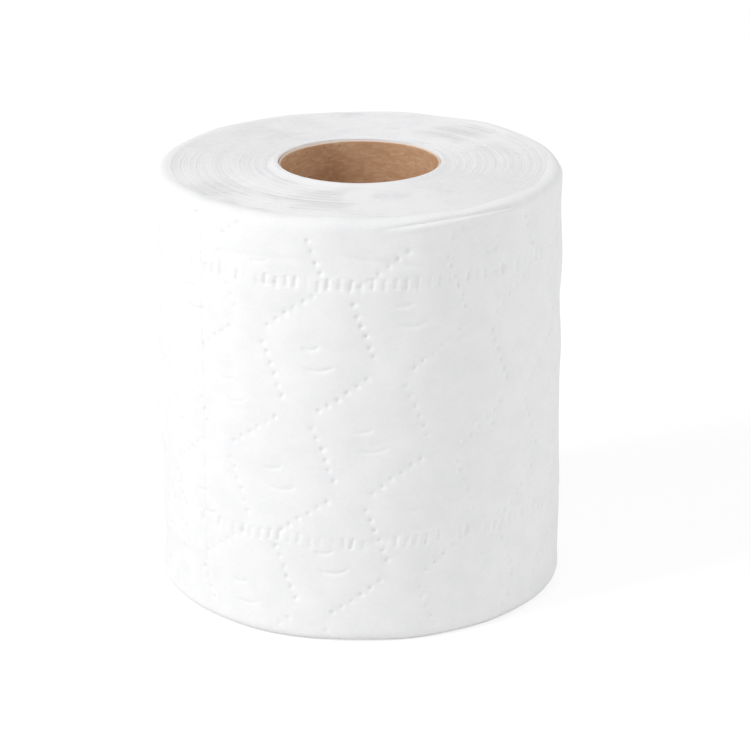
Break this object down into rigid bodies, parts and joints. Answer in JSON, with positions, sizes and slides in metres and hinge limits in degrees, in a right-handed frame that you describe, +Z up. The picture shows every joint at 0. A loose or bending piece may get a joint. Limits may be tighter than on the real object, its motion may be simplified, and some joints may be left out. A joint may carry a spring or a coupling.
{
  "type": "toilet paper roll",
  "caption": "Upright roll of embossed white toilet tissue wound on a hollow brown cardboard core, for a holder's spindle.",
  "frame": {"origin": "centre of the core at the lower end face, on which the roll stands", "axes": "+Z up along the core; -Y is the front; the free tail edge of the paper lies at the back, near +Y"},
  "size_m": [0.1047, 0.1047, 0.112],
  "materials": {
    "core_board": "plain brown kraft board, matte",
    "tissue": "soft white embossed tissue, matte"
  },
  "bodies": {
    "root": {"core_tube": "core_board", "tissue_winding": "tissue"}
  },
  "joints": []
}
